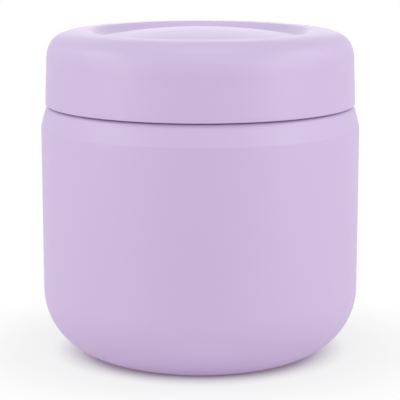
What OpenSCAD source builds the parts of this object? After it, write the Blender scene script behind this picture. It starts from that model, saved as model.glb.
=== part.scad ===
// Insulated food jar with a screw lid.
// Lengths are in millimetres. The jar stands on z = 0, centred on the Z axis.
// Nearly every piece is turned about that axis, so most modules revolve one outline
// of [radius, height] points. The lid's turn and lift follow the thread's lead.

/* [Jar wall] */
// Outer diameter of the straight wall
body_d = 100; // [86:1:125]
// Height of the ledge that the lid closes down to
ledge_h = 79.3; // [66:0.1:120]
// Radius of the bottom edge of the wall
base_corner_r = 21; // [8:0.5:24]
// Height of the coned shoulder below the ledge
shoulder_h = 6.5; // [4:0.1:10]
// How far the shoulder draws in by the ledge
shoulder_in = 1.7; // [0.5:0.1:3]
// Radius that softens the bend where the wall becomes the shoulder
shoulder_bend_r = 3; // [1:0.5:12]
// Radius that rounds the shoulder's upper end into the ledge
ledge_edge_r = 2.1; // [1:0.1:2.6]
// Sheet thickness of the outer wall
shell_t = 0.6; // [0.5:0.1:0.9]

/* [Foot and base] */
// Width of the flat ring that the jar stands on
foot_w = 2; // [1.5:0.1:4]
// Height of the lip turned up inside the foot
foot_lip_h = 2.4; // [2.2:0.1:4]
// Sheet thickness of the end plate
plate_t = 0.6; // [0.4:0.1:0.8]
// Sheet thickness of the base cover
cover_t = 0.5; // [0.3:0.1:0.8]
// Diameter of the dimple around the evacuation hole
dimple_d = 10; // [8:0.5:14]
// Depth of that dimple
dimple_h = 1.2; // [0.8:0.1:1.6]
// Diameter of the evacuation hole
evac_hole_d = 1.6; // [1:0.1:2.5]

/* [Food cup] */
// Distance from the outside of the jar's wall to the inside of the cup
cup_inset = 5.5; // [4:0.1:9]
// Height of the cup's floor above the surface that the jar stands on
floor_h = 8; // [7.5:0.1:14]
// Radius between the cup's floor and wall
cup_corner_r = 14; // [6:0.5:20]
// Height over which the cup narrows to the mouth
cup_neck_h = 8; // [5:0.5:14]
// Sheet thickness of the cup
cup_t = 0.5; // [0.4:0.1:0.7]

/* [Neck and thread] */
// Width of the rolled rim, from the mouth to the outside of the neck
rim_w = 3.3; // [2.6:0.1:4.5]
// Radius where the neck rises from the ledge
neck_fillet_r = 1; // [0.5:0.1:1.5]
// Rise of the thread in one turn
thread_lead = 6; // [5:0.1:7]
// Turns of ridge on the neck, and on the lid
thread_turns = 1.15; // [0.8:0.05:1.2]
// Height of a thread ridge
thread_h = 1.2; // [0.9:0.05:1.3]
// Width of a ridge at its root
thread_root_w = 2.4; // [2:0.1:2.8]
// Width of a ridge at its crest
thread_crest_w = 1; // [0.6:0.1:1.4]
// Height of the neck ridge's first end above the ledge
thread_start_h = 3.9; // [3.2:0.1:5]
// Straight neck between the ridge's upper end and the rolled rim
thread_top_run = 0.05; // [0:0.05:4]
// Radial room between a ridge and the wall that it runs along
thread_radial_gap = 0.5; // [0.4:0.05:0.8]
// Room between the two flanks that draw the lid down
thread_flank_gap = 0.3; // [0.2:0.05:0.5]

/* [Lid cover] */
// Gap of the seam between the ledge and the lid
seam_gap = 0.35; // [0.3:0.05:1]
// How far the lid's lower edge stands out past the edge of the ledge
lid_overhang = 0.3; // [-0.5:0.1:1.2]
// How much smaller the lid's diameter is where the top corner begins
lid_draft = 1; // [0:0.1:1.2]
// How far below the top of the core's ceiling the top corner begins
lid_corner_drop = 4.2; // [3:0.1:6]
// Height of the top corner, from the side up to the crest
lid_corner_h = 10.7; // [9:0.1:15]
// Power of the superellipse that rounds the top corner, where 2 is an ellipse
lid_corner_power = 3; // [2.4:0.1:4]
// Distance from the lid's side, at the top corner's start, to the crest ring
crest_inset = 12.9; // [9:0.1:16]
// Width of the wall of the dish, from the crest ring to the middle dome
dish_wall_w = 4.7; // [3:0.1:8]
// Radius of curvature of the middle dome
dome_curve_r = 174; // [120:1:260]
// Height of the dome's top above the crest
dome_rise = 0.5; // [0:0.1:1]
// Radius on the lower outer edge of the cover
cover_edge_r = 0.4; // [0.2:0.1:0.6]
// Wall thickness of the cover
cover_wall = 1.6; // [1.2:0.1:1.8]

/* [Lid core] */
// Gap between the insulating plug and the mouth
plug_gap = 1; // [0.8:0.05:3]
// How far the plug reaches below the rim
plug_reach = 7; // [4:0.1:14]
// Radius of the plug's lower edge
plug_corner_r = 2; // [1:0.1:4]
// Wall thickness of the plug, its floor and the ceiling
core_wall = 1.5; // [1.2:0.1:2]
// Wall thickness of the threaded skirt
skirt_wall = 1.2; // [1:0.05:1.3]
// Height of the skirt's lower end above the cover's lower edge
skirt_recess = 0.6; // [0.5:0.1:1.2]

/* [Gasket] */
// Thickness of the sealing ring
gasket_t = 1.2; // [0.9:0.1:2]
// How far inside the neck's outer wall the sealing ring ends
gasket_inset = 0.3; // [0:0.1:1]
// Gap from the ring to the rim below it, and to the plug inside it
gasket_gap = 0.15; // [0.1:0.05:0.3]

/* [Vacuum parts] */
// Thickness of the radiation foil
foil_t = 0.15; // [0.1:0.05:0.3]
// Diameter of the getter pill
getter_d = 8; // [6:0.5:10]
// Height of the getter pill
getter_h = 2.5; // [1.5:0.1:3]
// Gap between the dimple and the getter pill
getter_gap = 2.1; // [1:0.1:6]
// Sheet thickness of the getter's clip
clip_t = 0.3; // [0.2:0.05:0.4]
// Width of the clip's strap
clip_w = 4; // [3:0.5:6]
// Length of each of the clip's feet
clip_foot = 2.5; // [1.5:0.5:3]

/* [Hidden] */
$fn = 96;
arc_steps = 10;          // straight pieces in a large rounded corner
small_arc_steps = 5;     // straight pieces in a small rounded corner
corner_steps = 16;       // straight pieces in the lid's top corner
dish_steps = 10;         // straight pieces in the wall of the dish, and in the dome
thread_steps = 60;       // rings of the ridge in one turn
ramp_turns = 0.08;       // share of a turn over which a ridge rises to full height
ramp_start = 0.15;       // share of its height that a ridge has at its very end
thread_sink = 0.2;       // how deep a ridge is rooted in its wall
slip = 0.05;             // gap between pieces that are pressed or dropped together
clear = 0.3;             // gap between pieces that move past each other
over = 1;                // how far a cutter reaches past what it cuts

// Outside of the jar's wall, and the lid's side above it
body_r = body_d / 2;
base_flat_r = body_r - base_corner_r;
ledge_r = body_r - shoulder_in;
shoulder_z = ledge_h - shoulder_h;
shoulder_angle = atan(shoulder_in / shoulder_h);
bend_tangent = shoulder_bend_r * tan(shoulder_angle / 2);
// How far inside the corner of shoulder and ledge the middle of the rounding lies
ledge_edge_in = ledge_edge_r * (1 - sin(shoulder_angle)) / cos(shoulder_angle);
cover_z = ledge_h + seam_gap;
lid_r = ledge_r + lid_overhang;
lid_top_r = lid_r - lid_draft / 2;

// From the lid's side inwards: skirt, thread, neck, mouth and plug
skirt_r = lid_top_r - cover_wall - clear;
skirt_in_r = skirt_r - skirt_wall;
neck_r = skirt_in_r - thread_radial_gap - thread_h;
mouth_r = neck_r - rim_w;
plug_r = mouth_r - plug_gap;
rim_mid_r = (neck_r + mouth_r) / 2;
rim_roll_r = rim_w / 2;

// Foot and base
lip_in_r = base_flat_r - foot_w;
plate_top_z = foot_lip_h;
plate_z = plate_top_z - plate_t;
dimple_r = dimple_d / 2;
dimple_foot_r = dimple_r + dimple_h / 2;
getter_x = dimple_foot_r + plate_t / 2 + getter_gap + getter_d / 2;
lip_edge_r = 0.4;
seal_side_gap = 0.1;
seal_recess = 0.2;       // how far the glass stays inside the dimple
seal_bevel = 0.3;

// Cup
cavity_r = body_r - cup_inset;
cup_wall_top_z = ledge_h + neck_fillet_r - cup_neck_h;
cup_floor_r = cavity_r - cup_corner_r;
cup_out_r = cavity_r + cup_t;

// Thread, and the rim above it
neck_ridge_z = ledge_h + thread_start_h;
neck_ridge_top_z = neck_ridge_z + thread_turns * thread_lead + thread_root_w / 2;
rim_z = neck_ridge_top_z + thread_top_run + rim_roll_r;
flank_slope = (thread_root_w - thread_crest_w) / 2 / thread_h;
// Axial distance between the middles of two ridges whose facing flanks just touch
flank_touch = thread_root_w - flank_slope * (skirt_in_r - neck_r);
ridge_offset = flank_touch + thread_flank_gap;

// Gasket, core and the cover's top, from the rim upwards
gasket_z = rim_z + gasket_gap;
ceiling_z = gasket_z + gasket_t + gasket_gap;
ceiling_top_z = ceiling_z + core_wall;
lid_corner_z = ceiling_top_z - lid_corner_drop;
crest_z = lid_corner_z + lid_corner_h;
crest_r = lid_top_r - crest_inset;
dome_r = crest_r - dish_wall_w;
dome_z = crest_z + dome_rise;

// Lid core
plug_z = rim_z - plug_reach;
skirt_z = cover_z + skirt_recess;
foam_room_r = plug_r - core_wall;
snap_bead_z = skirt_z - slip;
lid_ridge_run_in = 1;    // plain skirt below the lid's ridge
lid_ridge_z = skirt_z + lid_ridge_run_in + thread_root_w / 2;
// The lid's ridge starts where the neck's helix, less the offset, reaches its first height
lid_ridge_angle = 360 * (lid_ridge_z + ridge_offset - neck_ridge_z) / thread_lead;
retainer_out = 0.6;      // bead on the plug that keeps the gasket on
retainer_h = 0.8;
retainer_bevel = 0.2;
rib_offset = 2;          // from the plug to the weld rib around it
rib_in_r = plug_r + rib_offset;
rib_t = 1.4;
bead_bevel = 0.15;       // on the bead inside the cover's lower edge
skirt_bevel = 0.3;
ceiling_bevel = 0.5;     // where the ceiling meets the skirt
gasket_lip = 0.4;

// Points on an arc about [radius, height] centre c, from angle a to angle b
function arc(c, r, a, b, steps) =
    [for (i = [0 : steps]) c + r * [cos(a + (b - a) * i / steps), sin(a + (b - a) * i / steps)]];

// A smooth step from 0 to 1 with level ends
function smooth(u) = u * u * (3 - 2 * u);

// Heights of the dome's sphere, and of the wall that rises from it to the crest
function dome_at(r) = dome_z - dome_curve_r + sqrt(dome_curve_r ^ 2 - r ^ 2);
function dish_at(r) =
    let (s = r < dome_r ? 0 : smooth((r - dome_r) / (crest_r - dome_r)))
    dome_at(r) * (1 - s) + crest_z * s;

// The lid's top from the side's upper end, over the corner and crest, to the axis,
// pulled in by t: a quarter superellipse, the wall of the dish and the dome
function lid_top(t) = concat(
    [for (i = [0 : corner_steps])
        let (a = 90 * i / corner_steps, p = 2 / lid_corner_power)
        [crest_r + (lid_top_r - t - crest_r) * cos(a) ^ p, lid_corner_z + (lid_corner_h - t) * sin(a) ^ p]],
    [for (i = [1 : dish_steps])
        let (r = crest_r + (dome_r - crest_r) * i / dish_steps)
        [r, dish_at(r) - t]],
    [for (i = [1 : dish_steps]) let (r = dome_r * (1 - i / dish_steps)) [r, dish_at(r) - t]]
);

// Inner radius of the cover's top corner at height z
function cover_in_r(z) =
    let (n = lid_corner_power, rise = (z - lid_corner_z) / (lid_corner_h - cover_wall))
    crest_r + (crest_inset - cover_wall) * (1 - rise ^ n) ^ (1 / n);

// One ring of a thread ridge: root and crest points on the lower and upper side.
// side is +1 for a ridge that stands outwards and -1 for one that stands inwards.
function ridge_ring(wall_r, side, z, a, rise) =
    let (root = wall_r - side * thread_sink, crest = wall_r + side * thread_h * rise)
    let (root_half = thread_root_w / 2 * rise, crest_half = thread_crest_w / 2 * rise)
    [for (p = [[root, -root_half], [crest, -crest_half], [crest, crest_half], [root, root_half]])
        [p[0] * cos(a), p[0] * sin(a), z + p[1]]];

// The share of its height that a ridge has, u turns from its start
function ridge_rise(u) = max(ramp_start, min(1, u / ramp_turns, (thread_turns - u) / ramp_turns));

// A right-hand ridge swept along the helix from height z at angle a
module thread_ridge(wall_r, side, z, a) {
    rings = ceil(thread_turns * thread_steps);
    points = [for (i = [0 : rings])
        let (u = thread_turns * i / rings)
        each ridge_ring(wall_r, side, z + thread_lead * u, a + 360 * u, ridge_rise(u))];
    sides = [for (i = [0 : rings - 1], j = [0 : 3])
        let (p = 4 * i + j, q = 4 * i + (j + 1) % 4)
        each [[p, q, p + 4], [q, q + 4, p + 4]]];
    last = 4 * rings;
    ends = [[0, 2, 1], [0, 3, 2], [last, last + 1, last + 2], [last, last + 2, last + 3]];
    faces = concat(sides, ends);
    // An inward ridge has its points in the other order, so its faces are turned round
    polyhedron(points, side > 0 ? faces : [for (f = faces) [f[2], f[1], f[0]]]);
}

module outer_shell() color("#c9b5da") {
    t = shell_t;
    bend_c = [body_r - shoulder_bend_r, shoulder_z - bend_tangent];
    edge_c = [ledge_r - ledge_edge_in, ledge_h - ledge_edge_r];
    fillet_c = [neck_r + neck_fillet_r, ledge_h + neck_fillet_r];
    roll_c = [rim_mid_r, rim_z - rim_roll_r];
    rotate_extrude()
        polygon(concat(
            [[lip_in_r, foot_lip_h]],
            arc([lip_in_r + lip_edge_r, lip_edge_r], lip_edge_r, 180, 270, small_arc_steps),
            arc([base_flat_r, base_corner_r], base_corner_r, 270, 360, arc_steps),
            arc(bend_c, shoulder_bend_r, 0, shoulder_angle, small_arc_steps),
            arc(edge_c, ledge_edge_r, shoulder_angle, 90, small_arc_steps),
            arc(fillet_c, neck_fillet_r, 270, 180, small_arc_steps),
            arc(roll_c, rim_roll_r, 0, 90, small_arc_steps),
            arc(roll_c, rim_roll_r - t, 90, 0, small_arc_steps),
            [[neck_r - t, ledge_h - t]],
            arc(edge_c, ledge_edge_r - t, 90, shoulder_angle, small_arc_steps),
            arc(bend_c, shoulder_bend_r - t, shoulder_angle, 0, small_arc_steps),
            arc([base_flat_r, base_corner_r], base_corner_r - t, 360, 270, arc_steps),
            [[lip_in_r + t, t], [lip_in_r + t, foot_lip_h]]
        ));
    thread_ridge(neck_r, 1, neck_ridge_z, 0);
}

// The cup's side from its floor to the rim, pushed out by t
function cup_side(t) = concat(
    arc([cup_floor_r, floor_h + cup_corner_r], cup_corner_r + t, 270, 360, arc_steps),
    [for (i = [0 : arc_steps])
        let (u = i / arc_steps)
        [cavity_r + t - (cavity_r - mouth_r) * smooth(u), cup_wall_top_z + cup_neck_h * u]],
    arc([rim_mid_r, rim_z - rim_roll_r], rim_roll_r - t, 180, 90, small_arc_steps)
);

function reversed(list) = [for (i = [len(list) - 1 : -1 : 0]) list[i]];

module inner_liner() color("#b9bcc0") {
    rotate_extrude()
        polygon(concat(
            [[0, floor_h]], cup_side(0), reversed(cup_side(cup_t)), [[0, floor_h - cup_t]]
        ));
}

module foil_wrap() color("#d8d9dc") {
    low = floor_h + cup_corner_r;
    difference() {
        translate([0, 0, low]) cylinder(h = cup_wall_top_z - low, r = cup_out_r + slip + foil_t);
        translate([0, 0, low - over]) cylinder(h = cup_wall_top_z - low + 2 * over, r = cup_out_r + slip);
    }
}

module foil_disc() color("#d8d9dc") {
    translate([0, 0, floor_h - cup_t - foil_t]) cylinder(h = foil_t, r = cup_floor_r);
}

module base_plate() color("#b9bcc0") {
    hole_r = evac_hole_d / 2;
    roof = plate_z + dimple_h;
    rotate_extrude()
        polygon([
            [hole_r, roof], [dimple_r - dimple_h / 2, roof], [dimple_foot_r, plate_z],
            [lip_in_r - slip, plate_z], [lip_in_r - slip, plate_top_z],
            [dimple_foot_r + plate_t / 2, plate_top_z],
            [dimple_r - dimple_h / 2 + plate_t / 2, roof + plate_t], [hole_r, roof + plate_t]
        ]);
}

module vacuum_seal() color("#6f7c74") {
    roof = plate_z + dimple_h;
    low = plate_z + seal_recess;
    stem_r = evac_hole_d / 2 - slip;
    top_r = dimple_r - dimple_h / 2 - seal_side_gap;
    side_r = top_r + roof - low - seal_bevel;
    rotate_extrude()
        polygon([
            [0, low], [side_r - seal_bevel, low], [side_r, low + seal_bevel], [top_r, roof],
            [stem_r, roof], [stem_r, roof + plate_t], [0, roof + plate_t]
        ]);
}

module getter_pellet() color("#54555a") {
    translate([getter_x, 0, plate_top_z]) cylinder(h = getter_h, d = getter_d);
}

module getter_clip() color("#b9bcc0") {
    leg_x = getter_d / 2 + slip;
    foot_x = leg_x + clip_t + clip_foot;
    top = getter_h + slip;
    // The strap lies across the radius, so that its feet stay clear of dimple and lip
    translate([getter_x - clip_w / 2, 0, plate_top_z])
        rotate([90, 0, 90])
            linear_extrude(clip_w)
                polygon([
                    [-foot_x, 0], [-leg_x, 0], [-leg_x, top], [leg_x, top], [leg_x, 0], [foot_x, 0],
                    [foot_x, clip_t], [leg_x + clip_t, clip_t], [leg_x + clip_t, top + clip_t],
                    [-leg_x - clip_t, top + clip_t], [-leg_x - clip_t, clip_t], [-foot_x, clip_t]
                ]);
}

module base_cover() color("#c4c7ca") {
    low = plate_z - cover_t;
    cover_r = lip_in_r - clear;
    rotate_extrude()
        polygon([
            [0, low], [cover_r - cover_t, low], [cover_r, low + cover_t / 2], [cover_r, plate_z], [0, plate_z]
        ]);
}

module lid_cover() color("#cbb8dc") {
    t = cover_wall;
    e = cover_edge_r;
    side_in_r = lid_r - t;
    bead_r = skirt_r - clear;
    rotate_extrude()
        polygon(concat(
            arc([lid_r - e, cover_z + e], e, 270, 360, small_arc_steps),
            lid_top(0),
            reversed(lid_top(t)),
            [[side_in_r, snap_bead_z], [bead_r, snap_bead_z - bead_bevel],
             [bead_r, cover_z + bead_bevel], [bead_r + bead_bevel, cover_z]]
        ));
    // Weld rib that stands on the core's ceiling
    difference() {
        translate([0, 0, ceiling_top_z]) cylinder(h = crest_z - t - ceiling_top_z, r = rib_in_r + rib_t);
        translate([0, 0, ceiling_top_z - over]) cylinder(h = crest_z - ceiling_top_z + over, r = rib_in_r);
    }
}

module lid_core() color("#d9d3e2") {
    bead_out_r = plug_r + retainer_out;
    bead_top = rim_z - gasket_gap;
    rotate_extrude()
        polygon(concat(
            [[0, plug_z]],
            arc([plug_r - plug_corner_r, plug_z + plug_corner_r], plug_corner_r, 270, 360, small_arc_steps),
            [[plug_r, rim_z - retainer_h - retainer_out], [bead_out_r, rim_z - retainer_h],
             [bead_out_r, bead_top - retainer_bevel], [plug_r, bead_top], [plug_r, ceiling_z],
             [skirt_in_r - ceiling_bevel, ceiling_z], [skirt_in_r, ceiling_z - ceiling_bevel],
             [skirt_in_r, skirt_z + skirt_bevel], [skirt_in_r + skirt_bevel, skirt_z], [skirt_r, skirt_z]],
            // The upper outer corner follows the cover's inside
            [for (i = [0 : small_arc_steps])
                let (z = lid_corner_z + lid_corner_drop * i / small_arc_steps)
                [cover_in_r(z) - clear, z]],
            [[foam_room_r, ceiling_top_z], [foam_room_r, plug_z + core_wall], [0, plug_z + core_wall]]
        ));
    thread_ridge(skirt_in_r, -1, lid_ridge_z, lid_ridge_angle);
}

module foam_insert() color("#f1efe9") {
    top = dish_at(dome_r) - cover_wall - clear;
    translate([0, 0, plug_z + core_wall]) cylinder(h = top - plug_z - core_wall, r = foam_room_r - slip);
}

module lid_gasket() color("#e6e3ea") {
    in_r = plug_r + clear;
    out_r = neck_r - gasket_inset;
    top = gasket_z + gasket_t;
    lip = gasket_lip;
    rotate_extrude()
        polygon([
            [in_r, gasket_z + lip], [in_r + lip, gasket_z], [out_r - lip, gasket_z], [out_r, gasket_z + lip],
            [out_r, top - lip], [out_r - lip, top], [in_r, top]
        ]);
}

outer_shell();
inner_liner();
foil_wrap();
foil_disc();
base_plate();
vacuum_seal();
getter_pellet();
getter_clip();
base_cover();
lid_cover();
lid_core();
foam_insert();
lid_gasket();
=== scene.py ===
"""The looks of an insulated food jar with a screw lid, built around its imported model.

Sizes are in millimetres in every class and become metres as a mesh is made. Nearly every piece is
a surface of revolution about the Z axis, so a shape is an outline of (radius, height) points that
is turned round, and the threads are a height field on such a surface.
"""

from __future__ import annotations

import sys
import logging
import math
from dataclasses import dataclass, field
from enum import Enum
from typing import Any, Callable, Mapping, NamedTuple, Sequence

import bpy
import numpy as np
from bpy.types import ID, Material, Mesh, Node, NodeSocket, NodeTree, Object, World
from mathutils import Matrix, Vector


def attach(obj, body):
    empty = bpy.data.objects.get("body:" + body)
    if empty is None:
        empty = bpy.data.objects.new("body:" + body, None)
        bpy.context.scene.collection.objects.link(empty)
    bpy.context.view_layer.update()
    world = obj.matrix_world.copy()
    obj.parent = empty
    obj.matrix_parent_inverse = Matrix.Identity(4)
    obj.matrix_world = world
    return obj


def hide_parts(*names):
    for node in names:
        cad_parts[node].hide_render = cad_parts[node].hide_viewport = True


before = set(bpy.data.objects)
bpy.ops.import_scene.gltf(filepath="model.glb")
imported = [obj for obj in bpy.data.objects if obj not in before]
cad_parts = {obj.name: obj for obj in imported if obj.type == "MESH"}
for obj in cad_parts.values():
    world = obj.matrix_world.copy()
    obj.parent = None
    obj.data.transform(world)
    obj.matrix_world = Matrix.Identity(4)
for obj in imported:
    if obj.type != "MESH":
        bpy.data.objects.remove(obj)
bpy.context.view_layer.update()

log = logging.getLogger("food_jar")

Array = np.ndarray
Form = Callable[[Array, Array, Array], tuple[Array, Array]]

MM = 0.001

# Two faces that meet at more than this many degrees meet in a crease. A thread's flank turns by
# 42 degrees from row to row at its foot, and shades smoothly all the same.
CREASE_DEG = 38.0
THREAD_CREASE_DEG = 55.0

# Nearer than this, in millimetres, a point counts as on the axis, on a wall or on its neighbour
ON_AXIS = 1e-7
ON_WALL = 0.01
SAME_POINT = 1e-5


class Body(str, Enum):
    """The three bodies that move against each other."""

    JAR = "jar"
    SEAL = "seal"
    LID = "lid"


class Slot(str, Enum):
    """Material slot names for the pieces made here, which add_piece takes but does not use."""

    COATED = "coated_steel"
    CUP = "cup_steel"
    BASE = "base_steel"
    LID = "lid_plastic"
    CORE = "core_plastic"
    SILICONE = "silicone"


# ---- Outlines ----


def smoothstep(value: Array, low: float = 0.0, high: float = 1.0) -> Array:
    """A step with level ends: 3u^2 - 2u^3, u being value's share of the way from low to high.

    Args:
        value: Where the step is read.
        low: Value at which it leaves 0.
        high: Value at which it reaches 1.

    Returns:
        The step's height, from 0 to 1.
    """
    share = np.clip((np.asarray(value, float) - low) / (high - low), 0.0, 1.0)
    return share * share * (3.0 - 2.0 * share)


def arc(centre: Sequence[float], radius: float, start: float, end: float, steps: int) -> Array:
    """Points on a circle: centre + radius (cos a, sin a), with a going evenly from start to end.

    Args:
        centre: Middle of the circle, as (radius, height).
        radius: The circle's own radius.
        start: First angle in degrees.
        end: Last angle in degrees.
        steps: Number of straight pieces.

    Returns:
        steps + 1 outline points.
    """
    angle = np.radians(np.linspace(start, end, steps + 1))
    return np.asarray(centre, float) + radius * np.column_stack([np.cos(angle), np.sin(angle)])


def run(*corners: Sequence[float], step: float = 3.0) -> Array:
    """Even points along straight lines through the corners, which are kept.

    Args:
        *corners: Outline points, as (radius, height).
        step: Longest distance between two neighbours.

    Returns:
        Outline points from the first corner to the last.
    """
    parts = []
    for start, end in zip(corners, corners[1:]):
        count = max(1, math.ceil(math.dist(start, end) / step))
        parts.append(np.linspace(start, end, count, endpoint=False))
    return np.vstack(parts + [np.asarray(corners[-1:], float)])


def even(points: Array, step: float) -> Array:
    """The same curve with its points spread evenly along its length.

    Args:
        points: A finely drawn curve.
        step: Wanted distance between neighbours.

    Returns:
        Points read off at equal lengths along the curve, with both ends kept.
    """
    length = np.concatenate([[0.0], np.cumsum(np.hypot(*np.diff(points, axis=0).T))])
    at = np.linspace(0.0, length[-1], max(2, round(length[-1] / step) + 1))
    return np.column_stack([np.interp(at, length, points[:, 0]), np.interp(at, length, points[:, 1])])


def joined(*parts: Array) -> Array:
    """One outline from several, without the points that lie on their neighbour.

    Args:
        *parts: Outlines that each start where the last one ends.

    Returns:
        All their points in order.
    """
    points = np.vstack(parts)
    far = np.hypot(*np.diff(points, axis=0).T) > SAME_POINT
    return points[np.concatenate([[True], far])]


# ---- Turned surfaces ----


def signed_volume(points: Array, faces: Sequence[Array]) -> float:
    """Six times the volume inside closed faces: the sum of a . (b x c) over their triangles.

    Args:
        points: Vertex places.
        faces: Arrays of faces with three or four corners each.

    Returns:
        A number above zero where the faces point outwards.
    """
    total = 0.0
    for block in faces:
        for second in range(1, block.shape[1] - 1):
            a, b, c = (points[block[:, k]] for k in (0, second, second + 1))
            total += float(np.einsum("ij,ij->", a, np.cross(b, c)))
    return total


def turned_mesh(
    name: str, outline: Array, around: int, form: Form | None = None, crease: float = CREASE_DEG
) -> Mesh:
    """Turns an outline about the Z axis: (r, z) goes to (r cos a, r sin a, z) for every angle a.

    An outline that starts and ends on the axis closes there in fans of triangles. Any other
    outline is a loop, whose last point joins its first.

    Args:
        name: The mesh's name.
        outline: Points as (radius, height) in millimetres.
        around: Number of columns in one turn.
        form: Moves the grid's points, given their angle, radius and height.
        crease: Least angle in degrees at which two faces meet in a crease.

    Returns:
        A closed mesh in metres whose faces point outwards.
    """
    columns = len(outline)
    angle = np.repeat(np.linspace(0.0, 2.0 * np.pi, around, endpoint=False)[:, None], columns, axis=1)
    radius, height = (np.tile(outline[:, k], (around, 1)) for k in (0, 1))
    axis = outline[:, 0] < ON_AXIS
    if form is not None:
        radius, height = form(angle, radius, height)
    grid = np.stack([radius * np.cos(angle), radius * np.sin(angle), height], axis=-1) * MM

    # A column of points on the axis is a single vertex
    ids = np.arange(around * columns).reshape(around, columns)
    ids[:, axis] = ids[0, axis]
    used, flat = np.unique(ids, return_inverse=True)
    ids = flat.reshape(around, columns)
    points = grid.reshape(-1, 3)[used]

    here, there = ids, np.roll(ids, -1, axis=0)
    count = columns - 1 if axis.any() else columns
    left = np.arange(count)
    right = (left + 1) % columns
    corners = np.stack([here[:, left], there[:, left], there[:, right], here[:, right]], axis=-1)
    whole = ~(axis[left] | axis[right])
    blocks = [
        corners[:, whole].reshape(-1, 4),
        corners[:, axis[left] & ~axis[right]][..., [0, 2, 3]].reshape(-1, 3),
        corners[:, axis[right] & ~axis[left]][..., [0, 1, 2]].reshape(-1, 3),
    ]
    if signed_volume(points, blocks) < 0.0:
        blocks = [block[:, ::-1] for block in blocks]
    mesh = bpy.data.meshes.new(name)
    mesh.from_pydata(points.tolist(), [], [face for block in blocks for face in block.tolist()])
    mesh.shade_smooth()
    mesh.set_sharp_from_angle(angle=math.radians(crease))
    return mesh


def put(name: str, data: ID) -> Object:
    """Puts an object into the scene, at the origin.

    Args:
        name: The object's name.
        data: Its mesh, lamp or camera.

    Returns:
        The object.
    """
    holder = bpy.data.objects.new(name, data)
    bpy.context.scene.collection.objects.link(holder)
    return holder


def add_piece(mesh: Mesh, body: Body, slot: Slot, material: Material, *nodes: str) -> None:
    """Places a finished mesh in the scene as a piece of the jar.

    Args:
        mesh: The piece's mesh, already in place.
        body: The body that it moves with.
        slot: The slot that its finish belongs to. Not used.
        material: Its finish.
        *nodes: The CAD nodes that it stands for.
    """
    piece = put(mesh.name, mesh)
    mesh.materials.append(material)
    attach(piece, body.value)
    if nodes:
        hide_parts(*nodes)
    log.info("%s: %d faces, rides on %s", piece.name, len(mesh.polygons), body.value)


def dress_nodes(material: Material, *nodes: str) -> None:
    """Gives CAD nodes that stay in view a new finish.

    Args:
        material: Their finish.
        *nodes: Their names.
    """
    for node in nodes:
        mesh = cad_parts[node].data
        mesh.materials.clear()
        mesh.materials.append(material)
        log.info("%s: CAD node, finished as %s", node, material.name)


@dataclass(frozen=True)
class Thread:
    """A right-hand ridge that winds round a wall.

    Attributes:
        wall_r: Radius of the wall.
        side: +1 where the ridge stands outwards and -1 where it stands inwards.
        start_z: Height of the ridge's middle at its start.
        start_deg: Angle at its start.
        low: Lowest height of the wall's straight part.
        high: Highest height of that part.
    """

    wall_r: float
    side: int
    start_z: float
    start_deg: float
    low: float
    high: float
    lead: float = 6.0
    turns: float = 1.15
    height: float = 1.2
    root_w: float = 2.4
    crest_w: float = 1.0
    ramp: float = 0.08

    def rise(self, angle: Array, z: Array) -> Array:
        """How far the ridge stands off the wall.

        The ridge's middle is at start_z + lead u after u turns. Across it, the height is a
        smooth step from the root's edge to the crest's edge, and it swells in and dies out
        over the first and the last ramp of its length.

        Args:
            angle: Angles of the points in radians.
            z: Their heights.

        Returns:
            Height of the ridge at each point.
        """
        share = np.mod(angle / (2.0 * np.pi) - self.start_deg / 360.0, 1.0)
        best = np.zeros_like(share)
        for lap in range(math.ceil(self.turns) + 1):
            turn = share + lap
            full = smoothstep(np.minimum(turn, self.turns - turn), 0.0, self.ramp)
            across = np.abs(z - self.start_z - self.lead * turn)
            slope = (self.root_w / 2.0 - across) / ((self.root_w - self.crest_w) / 2.0)
            best = np.maximum(best, self.height * full * smoothstep(slope))
        return best

    def form(self, sheet: float = 0.0) -> Form:
        """The height field for turned_mesh.

        Args:
            sheet: Thickness of a rolled sheet, whose back then follows its front.

        Returns:
            A function that moves the wall's points by the ridge's height.
        """

        def moved(angle: Array, radius: Array, height: Array) -> tuple[Array, Array]:
            """Moves the points on the wall and on the sheet's back out or in by the ridge's height.

            Args:
                angle: Angles of the grid's points in radians.
                radius: Their radii.
                height: Their heights.

            Returns:
                Their new radii and heights.
            """
            on_wall = np.abs(radius - self.wall_r) < ON_WALL
            on_wall |= (sheet > 0.0) & (np.abs(radius - self.wall_r + self.side * sheet) < ON_WALL)
            on_wall &= (height > self.low) & (height < self.high)
            return radius + np.where(on_wall, self.side * self.rise(angle, height), 0.0), height

        return moved


# ---- Finishes ----


def linear(colour: str) -> tuple[float, float, float, float]:
    """Turns an sRGB hex colour, such as #c9b5da, into linear red, green, blue and alpha."""
    shares = [int(colour[k : k + 2], 16) / 255.0 for k in (1, 3, 5)]
    return tuple(s / 12.92 if s <= 0.04045 else ((s + 0.055) / 1.055) ** 2.4 for s in shares) + (1.0,)


def per_mm(size: float) -> float:
    """The scale that makes one cell of a pattern on Object coordinates size millimetres wide."""
    return 1.0 / (size * MM)


def cleared(owner: Material | World) -> NodeTree:
    """Turns the nodes of a material or a world on and empties them.

    Args:
        owner: The material or world.

    Returns:
        Its empty node tree.
    """
    owner.use_nodes = True
    owner.node_tree.nodes.clear()
    return owner.node_tree


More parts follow.
